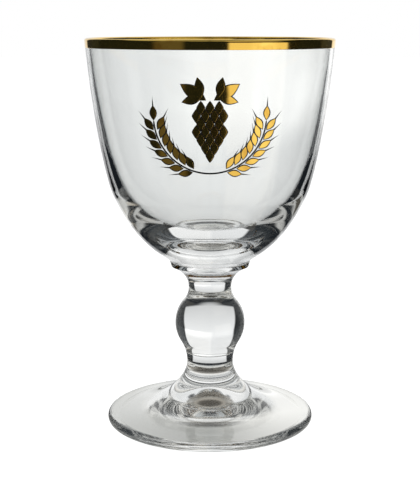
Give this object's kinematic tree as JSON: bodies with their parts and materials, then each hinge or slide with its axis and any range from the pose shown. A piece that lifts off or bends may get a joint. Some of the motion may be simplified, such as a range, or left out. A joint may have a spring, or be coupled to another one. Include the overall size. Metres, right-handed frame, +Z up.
{
  "type": "beer tasting glass",
  "caption": "Short-stemmed beer tasting glass: deep rounded bowl, sharp-edged collar, round knop, thick dished foot, gold rim and a barley and hop print.",
  "frame": {"origin": "middle of the ring that the foot stands on, on the table", "axes": "+Z up along the glass's axis, the print faces -Y, +X to the right of the print"},
  "size_m": [0.0778, 0.0778, 0.1234],
  "materials": {
    "glass": "clear soda-lime glass, fire-polished, with a very faint grey-green tint",
    "gold": "fired bright liquid gold, mirror bright, lightly worn at its edges",
    "black_enamel": "fired black glass enamel, glossy"
  },
  "bodies": {
    "root": {"foot": "glass", "stem": "glass", "collar": "glass", "bowl": "glass", "rim_band": "gold", "print_black": "black_enamel", "print_gold": "gold"}
  },
  "joints": []
}
